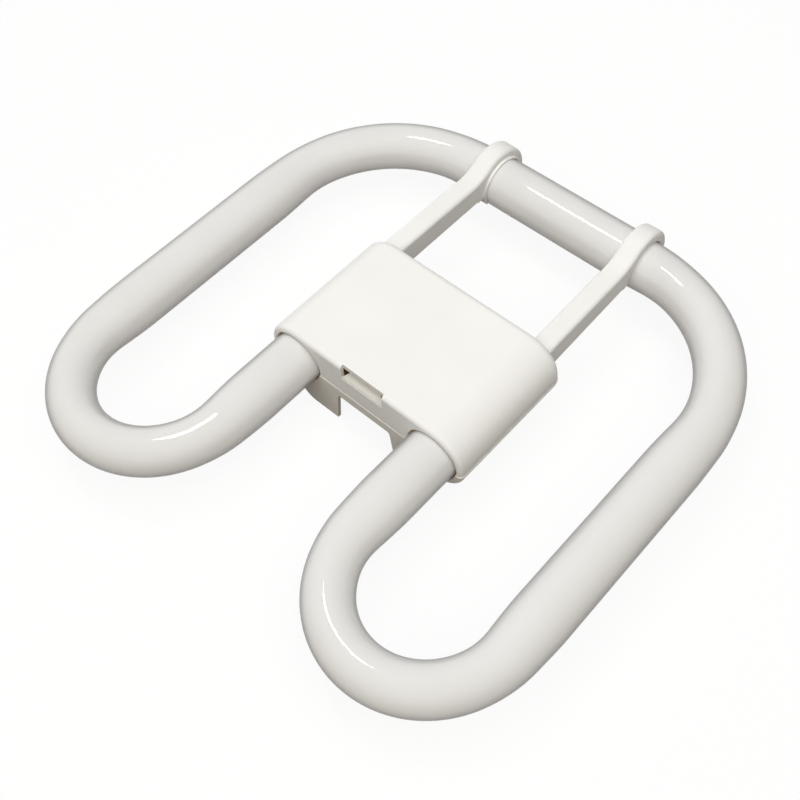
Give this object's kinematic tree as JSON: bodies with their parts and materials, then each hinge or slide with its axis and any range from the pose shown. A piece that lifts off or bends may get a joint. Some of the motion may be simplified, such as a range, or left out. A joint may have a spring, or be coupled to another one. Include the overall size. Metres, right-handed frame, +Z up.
{
  "type": "square compact fluorescent lamp",
  "caption": "Flat square fluorescent lamp: a white glass tube bent into a double D, held by a white plastic cap with clip arms, and contact pins under the cap for a lamp holder.",
  "frame": {"origin": "under the middle of the lamp, on the plane of the feet of the cap's skirt", "axes": "+X across the lamp, +Y from the two front bends to the far run, +Z up from the pins to the top"},
  "size_m": [0.141, 0.138, 0.0239],
  "materials": {
    "coated_glass": "gloss",
    "cap_plastic": "satin",
    "pin_brass": "satin",
    "lead_wire": "satin",
    "basing_cement": "matte"
  },
  "bodies": {
    "root": {"discharge_tube": "coated_glass", "top_cover": "cap_plastic", "base_cover": "cap_plastic", "contact_pin_1": "pin_brass", "contact_pin_2": "pin_brass", "contact_pin_3": "pin_brass", "contact_pin_4": "pin_brass", "lead_wire_1": "lead_wire", "lead_wire_2": "lead_wire", "lead_wire_3": "lead_wire", "lead_wire_4": "lead_wire", "basing_cement_1": "basing_cement", "basing_cement_2": "basing_cement"}
  },
  "joints": []
}
